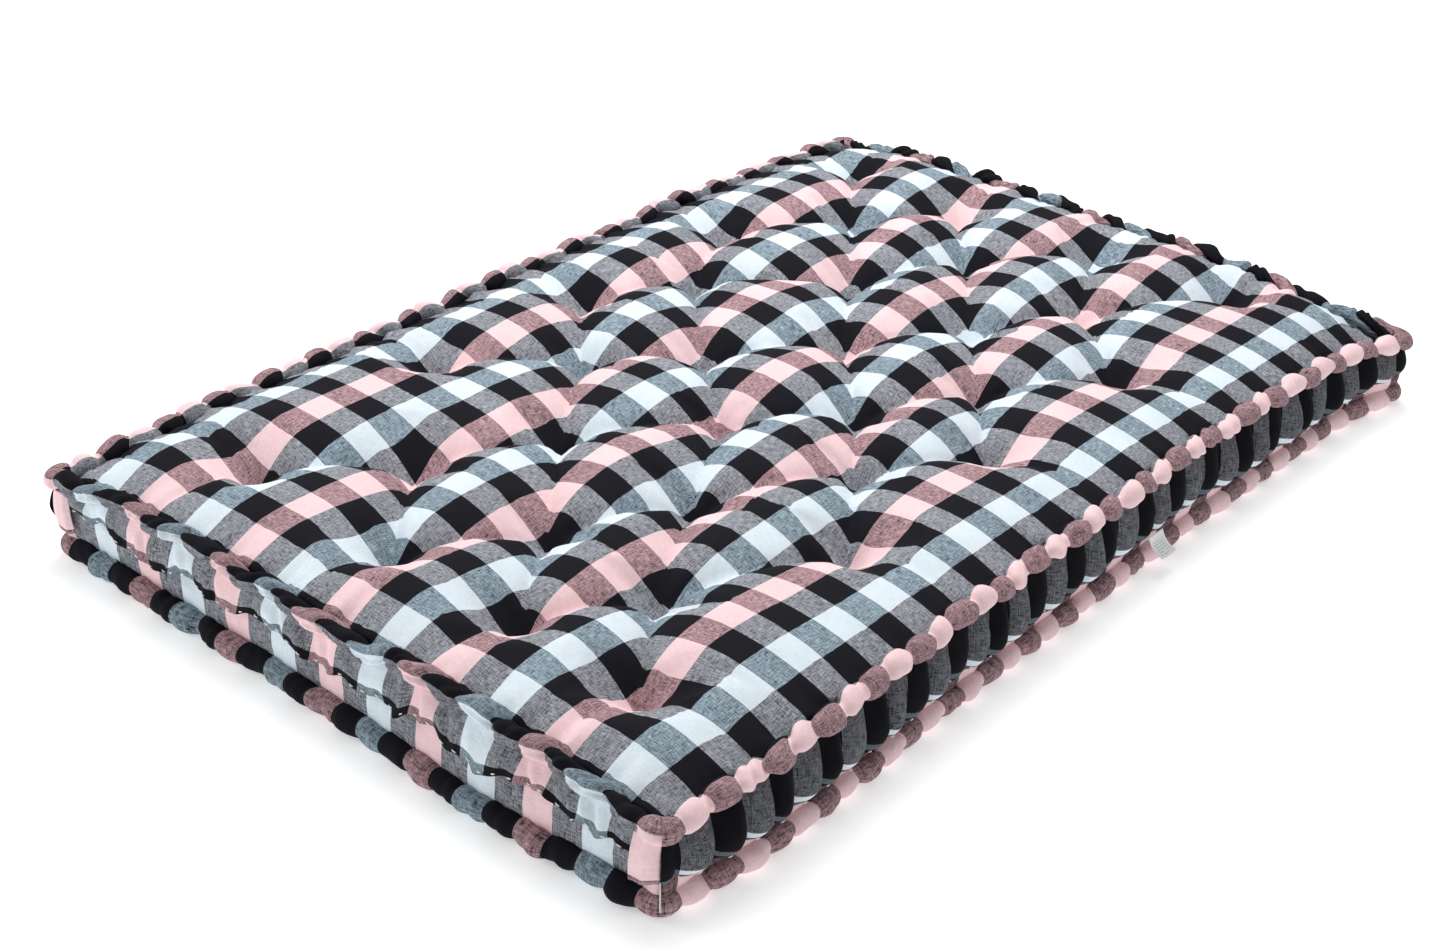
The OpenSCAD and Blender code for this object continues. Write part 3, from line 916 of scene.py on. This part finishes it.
wall = {
    "bottom": 0.026,
    "lap": 0.016,
    "inset": 0.005,
    "bulge": 0.004,
    "tuck": {"short": 0.00175, "long": 0.0035},
    "thickness": 0.0014,
    "step": 0.005,
    "rows": 12,
    "flat": {"short": 0.075, "long": 0.045},
    "fullness": 1.05,
    "stripes": {"front": (0.6, 0.8), "right": (24.0, 0.3), "back": (36.6, 0.8), "left": (0.0, -0.3)},
}


def wallPiece(name):
    side = sides[name]
    kind = side["kind"]

    def place(s, t):
        point, facing, along = lowRail(name, s, 0.6 * t)
        tuck = np.sin(np.pi * ((stripeAt(name, along) + 0.5) % 1)) ** 0.6
        high = skirt["hem"][name] + wall["lap"]
        z = wall["bottom"] + (high - wall["bottom"]) * t
        out = -wall["inset"] + wall["bulge"] * np.sin(np.pi * np.clip(t, 0, 1)) + wall["tuck"][kind] * (tuck - 0.6)
        out += 0.0012 * noise2(along, z, 0.014, side["seed"] + 500) * np.sin(np.pi * t)
        return standing(point, facing, out + 0.008 * cornerNear(name, along, 0.040), z)

    def stripes(s, t):
        first, more = wall["stripes"][name]
        return patternOn(name, first + more * t, stripeAt(name, rail(name, s)[2]))

    cuts = round(2 * side["half"] / wall["step"])
    piece = clothGrid(f"lowerWall_{name}", cuts, wall["rows"], place, stripes, flip=side["flip"])
    thicken(piece, wall["thickness"])
    dress(piece, *sideDress[kind], f"lower_wall_{name}")


skirtShapes = {}
for name in sides:
    wallPiece(name)
    skirtShapes[name] = skirtPiece(name)
print("side cloth made")

dress(topPanel, faceCloth, "plaid_face", "top_panel")

# the underside
under = {"step": 0.014, "rest": 0.0012, "wellWide": 0.034, "edge": 0.004, "edgeUp": 0.008, "thickness": 0.0012}


def underPlace(s, t):
    x = (2 * s - 1) * (sideX - under["edge"])
    y = (2 * t - 1) * (sideY - under["edge"])
    gap = np.minimum(sideX - np.abs(x), sideY - np.abs(y))
    wells = np.exp(-(nearestTuft(x, y) / under["wellWide"]) ** 2)
    z = (under["rest"] + (underWellZ - under["rest"]) * wells
         + under["edgeUp"] * (1 - ease(gap / 0.03)) + 0.0008 * (1 + noise2(x, y, 0.05, 9)))
    return np.column_stack([x + wander(x, y), y, z])


bottomPanel = clothGrid("bottomPanel", round(2 * sideX / under["step"]), round(2 * sideY / under["step"]),
                        underPlace, lambda s, t: (0.5 + 23 * s, 0.5 + 37 * t), flip=True)
thicken(bottomPanel, under["thickness"])
dress(bottomPanel, faceCloth, "plaid_face", "bottom_panel")

# the wadding, in three layers, and the cores of the rolls
filling = {
    "inset": 0.011,
    "lower": (underWellZ + 0.006, 0.0595),
    "middle": (0.0625, 0.0945),
    "upperFrom": 0.0965,
    "upperLeast": 0.0985,     # the upper layer is nowhere lower than this
    "belowFace": 0.003,
    "core": {"radius": 0.0052, "step": 0.008, "around": 12},
}


def slabPiece(name, low, high, replaced):
    # one layer of wadding, rounded at its edges
    bpy.ops.object.select_all(action="DESELECT")
    inset = filling["inset"]
    bpy.ops.mesh.primitive_cube_add(size=1, location=(0, 0, (low + high) / 2),
                                    scale=(2 * (sideX - inset), 2 * (sideY - inset), high - low))
    slab = bpy.context.object
    slab.name = slab.data.name = name
    bpy.ops.object.transform_apply(location=True, rotation=False, scale=True)
    editAll()
    bpy.ops.mesh.bevel(offset=0.012, segments=3, affect="EDGES")
    bpy.ops.mesh.subdivide(number_cuts=11)
    bpy.ops.object.mode_set(mode="OBJECT")
    place = points(slab.data)
    place[:, 0] += wander(place[:, 0], place[:, 1])
    inside = (np.abs(place[:, 0]) < sideX - 0.05) & (np.abs(place[:, 1]) < sideY - 0.05)
    place[:, 2] += np.where(inside, 0.0012 * noise2(place[:, 0], place[:, 1], 0.06, 8), 0)
    slab.data.vertices.foreach_set("co", place.ravel())
    slab.data.shade_smooth()
    dress(slab, wadding, "cotton_filling", replaced)


slabPiece("battingLower", *filling["lower"], "batting_lower")
slabPiece("battingMiddle", *filling["middle"], "batting_middle")


def upperPlace(s, t):
    # follows the lowest of the face near each point, a little below it
    rows, columns = (np.asarray(t) * topAlong).round().astype(int), (np.asarray(s) * topAcross).round().astype(int)
    spot = faceGrid[rows, columns].copy()
    lowest = spot[:, 2].copy()
    for i in range(-4, 5):
        for j in range(-4, 5):
            near = faceGrid[np.clip(rows + i, 0, topAlong), np.clip(columns + j, 0, topAcross), 2]
            lowest = np.minimum(lowest, near)
    spot[:, :2] *= np.array([1 - 0.012, 1 - 0.008])
    spot[:, 2] = np.maximum(lowest - filling["belowFace"], filling["upperLeast"])
    return spot


upperLayer = clothGrid("battingUpper", topAcross // 3, topAlong // 3, upperPlace, lambda s, t: (s, t))
bpy.ops.object.mode_set(mode="EDIT")
selectRims()
bpy.ops.mesh.extrude_region_move(TRANSFORM_OT_translate={"value": (0, 0, -0.01)})
bpy.ops.transform.resize(value=(1, 1, 0), center_override=(0, 0, filling["upperFrom"]))
fillRims()
dress(upperLayer, wadding, "cotton_filling", "batting_upper")


def corePlace(name, level, s, t):
    point, facing, along = (rail if level == "top" else lowRail)(name, s)
    outShift, height = rollMiddle(name, level, along)
    angle, size = np.radians(360 * t), filling["core"]["radius"]
    return standing(point, facing, outShift + size * np.cos(angle), height + size * np.sin(angle))


for level, node in (("top", "top_roll_filling"), ("low", "bottom_roll_filling")):
    cores = [clothGrid("core", round(2 * side["half"] / filling["core"]["step"]), filling["core"]["around"],
                       lambda s, t: corePlace(name, level, s, t), lambda s, t: (s, t), close=True)
             for name, side in sides.items()]
    core = joined(cores, f"{level}RollFilling")
    dress(core, wadding, "cotton_filling", node)
print("wadding made")

# the last of the top sheet, folded flat on the short sides beside each corner
fold = {"high": 0.119, "low": 0.050, "wide": 0.036, "around": 20, "rows": 20, "stand": 0.0095,
        "thickness": 0.0014, "flat": (0.16, 0.065)}


def cornerFold(name, atEnd):
    seed = 700 + sides[name]["seed"] + atEnd
    share = fold["wide"] / (2 * sides[name]["half"])

    def place(s, t):
        at = 1 - share * (1 - s) if atEnd else share * (1 - s)
        point, facing, _ = lowRail(name, at, 0.3 + 0.7 * t)
        low = fold["low"] + 0.004 * noise1(s, 0.3, seed) + 0.004 * s
        near = s if atEnd else 1 - s
        out = (fold["stand"] + 0.0012 * noise1(s, 0.22, seed + 1) + 0.0035 * (1 - t) + 0.003 * np.sin(np.pi * t)
               + 0.003 * np.sin(np.pi * near) - 0.0035 * ease((near - 0.72) / 0.28) - 0.006 * (1 - near) * t ** 2)
        return standing(point, facing, out, low + (fold["high"] - low) * t)

    def stripes(s, t):
        down = 0.7 + 0.90 * (1 - t)
        return warpCount * atEnd + 0.3 * (s - 0.5), edgeStripe[name] + outward[name] * down

    return clothGrid("fold", fold["around"], fold["rows"], place, stripes, flip=(name == "front") != atEnd)


folds = [cornerFold(name, atEnd) for name in ("front", "back") for atEnd in (False, True)]
cornerFolds = joined(folds, "cornerFolds")
thicken(cornerFolds, fold["thickness"])
dress(cornerFolds, *sideDress["short"], "corner_folds")

# what is sewn, with the size of a stitch in each place
sewing = {
    "hem": {"size": (0.0085, 0.0022, 0.0018), "count": {"short": 46, "long": 38}, "at": 0.085, "lift": 0.0012},
    "roll": {"size": (0.009, 0.0010, 0.0009), "count": {"short": 23, "long": 37}},
    # from a roll's middle: under an upper roll, and on top of a lower one
    "underTop": {"down": 0.70, "out": 0.12, "lean": -0.6},
    "onLow": {"down": 0.0012, "out": 0.30, "lean": 0.8},
    "tuft": {"size": (0.009, 0.0022, 0.0022), "lift": 0.0018},
    "label": {"size": (0.005, 0.0009, 0.0009), "count": 6, "apart": 0.007},
    "tie": {"radius": 0.0018, "bevel": 0.0005},
}


def stitches(name, spots, size, material, slot, replaced):
    # one short stitch, copied to each spot; a spot is (place, direction, outward)
    made = []
    bpy.ops.object.select_all(action="DESELECT")
    bpy.ops.mesh.primitive_uv_sphere_add(segments=8, ring_count=6, radius=0.5)
    first = bpy.context.object
    editAll()
    bpy.ops.transform.resize(value=size)
    bpy.ops.object.mode_set(mode="OBJECT")
    shape = points(first.data)
    shape[:, 2] += 0.12 * size[0] * np.cos(np.pi * shape[:, 0] / size[0])   # bowed a little outward
    for place, along, out in spots:
        along, out = np.array(along) / np.linalg.norm(along), np.array(out) / np.linalg.norm(out)
        turned = shape @ np.array([along, np.cross(out, along), out]) + np.asarray(place)
        copy = first.copy()
        copy.data = first.data.copy()
        copy.data.vertices.foreach_set("co", turned.ravel())
        scene.collection.objects.link(copy)
        made.append(copy)
    bpy.data.objects.remove(first)
    piece = joined(made, name)
    piece.data.shade_smooth()
    dress(piece, material, slot, replaced)


def sideSpots(name):
    # places spread along the hem of one side
    hem, shape = sewing["hem"], skirtShapes[name]
    count = hem["count"][sides[name]["kind"]]
    s, t = np.linspace(0, 1, count + 2)[1:-1], np.full(count, hem["at"])
    point, facing, out, z = shape(s, t)
    ahead, _, _, zAhead = shape(s + 0.0015, t)
    for i in range(count):
        spot = (*(point[i] + facing[i] * (out[i] + hem["lift"])), z[i])
        yield spot, (*(ahead[i] - point[i]), zAhead[i] - z[i]), (*facing[i], 0.15)


def rollSpots(name, level):
    count = sewing["roll"]["count"][sides[name]["kind"]]
    s = np.linspace(0, 1, count + 2)[1:-1]
    if level == "top":
        (point, facing, along), row = rail(name, s), sewing["underTop"]
        heights = rollHeight(name, along) - roll["radius"] * row["down"]
    else:
        (point, facing, along), row = lowRail(name, s), sewing["onLow"]
        heights = np.full(count, 2 * roll["radius"] - row["down"])
    for i in range(count):
        spot = (*(point[i] + facing[i] * roll["radius"] * row["out"]), heights[i])
        yield spot, (*sides[name]["run"], 0.3), (*facing[i], row["lean"])


hemSpots = [spot for name in sides for spot in sideSpots(name)]
stitches("hemStitching", hemSpots, sewing["hem"]["size"], threadMaterial, "sewing_thread", "hem_stitching")
for level, node in (("top", "top_roll_stitching"), ("low", "bottom_roll_stitching")):
    spots = [spot for name in sides for spot in rollSpots(name, level)]
    stitches(f"{level}RollStitching", spots, sewing["roll"]["size"], threadMaterial, "sewing_thread", node)

ties = []
for x, y in tufts:
    bpy.ops.mesh.primitive_cylinder_add(vertices=10, radius=sewing["tie"]["radius"], depth=wellZ - underWellZ,
                                        location=(x, y, (wellZ + underWellZ) / 2))
    tie = bpy.context.object
    bpy.ops.object.transform_apply(location=True)
    editAll()
    bpy.ops.mesh.bevel(offset=sewing["tie"]["bevel"], segments=2)
    bpy.ops.object.mode_set(mode="OBJECT")
    tie.data.shade_smooth()
    ties.append(tie)
tuftTies = joined(ties, "tuftTies")
dress(tuftTies, twineMaterial, "twine", "tuft_ties")

twineSpots = [((x, y, wellZ + sewing["tuft"]["lift"]), (1, 0.25, 0), (0, 0, 1)) for x, y in tufts]
stitches("tuftStitches", twineSpots, sewing["tuft"]["size"], twineMaterial, "twine", "tuft_stitches")
print("sewing made")

# the care label, which hangs on its hinge
label = {"wide": 0.040, "drop": 0.038, "thickness": 0.0006, "cells": 22, "lean": (14, 32)}
hinge = [j for j in frame["joints"] if j["name"] == "label_flap"][0]
hingeX, hingeY, hingeZ = hinge.get("pos_m") or hinge["pos"]


def labelPlace(s, t):
    # t is 0 at the sewn edge and 1 at the free one
    start, more = label["lean"]
    lean, drop = np.radians(start) + np.radians(more) * t, label["drop"] * t
    x = hingeX + drop * np.sin(lean) + 0.0016 * np.sin(2.6 * s + 0.4) * t
    z = hingeZ - drop * np.cos(lean) + 0.0007 * noise1(s, 0.4, 31) * t
    return np.column_stack([x, hingeY + (s - 0.5) * label["wide"], z])


careLabel = clothGrid("careLabel", label["cells"], label["cells"], labelPlace, lambda s, t: (s, t), flip=True)
thicken(careLabel, label["thickness"], 0)
dress(careLabel, labelTape, "label_tape", "care_label", "label")

seam = sewing["label"]
labelSpots = [((hingeX + 0.0004, hingeY + (k - 2.5) * seam["apart"], hingeZ - 0.001), (0, 1, 0), (1, 0, 0.2))
              for k in range(seam["count"])]
stitches("labelStitching", labelSpots, seam["size"], threadMaterial, "sewing_thread", "label_stitching")
print("label made")

bpy.ops.object.select_all(action="DESELECT")
bpy.ops.mesh.primitive_plane_add(size=studio["floor"]["size"], location=(0, 0, -studio["floor"]["below"]))
floor = bpy.context.object
floor.name = "floor"
floor.data.materials.append(Board("paleFloor").finish(
    Base_Color=studio["floor"]["colour"], Roughness=0.9, Specular_IOR_Level=0.1,
    Emission_Color=white, Emission_Strength=studio["floor"]["glow"]))

nodes["tuft_knots"].data.materials.clear()
nodes["tuft_knots"].data.materials.append(twineMaterial)
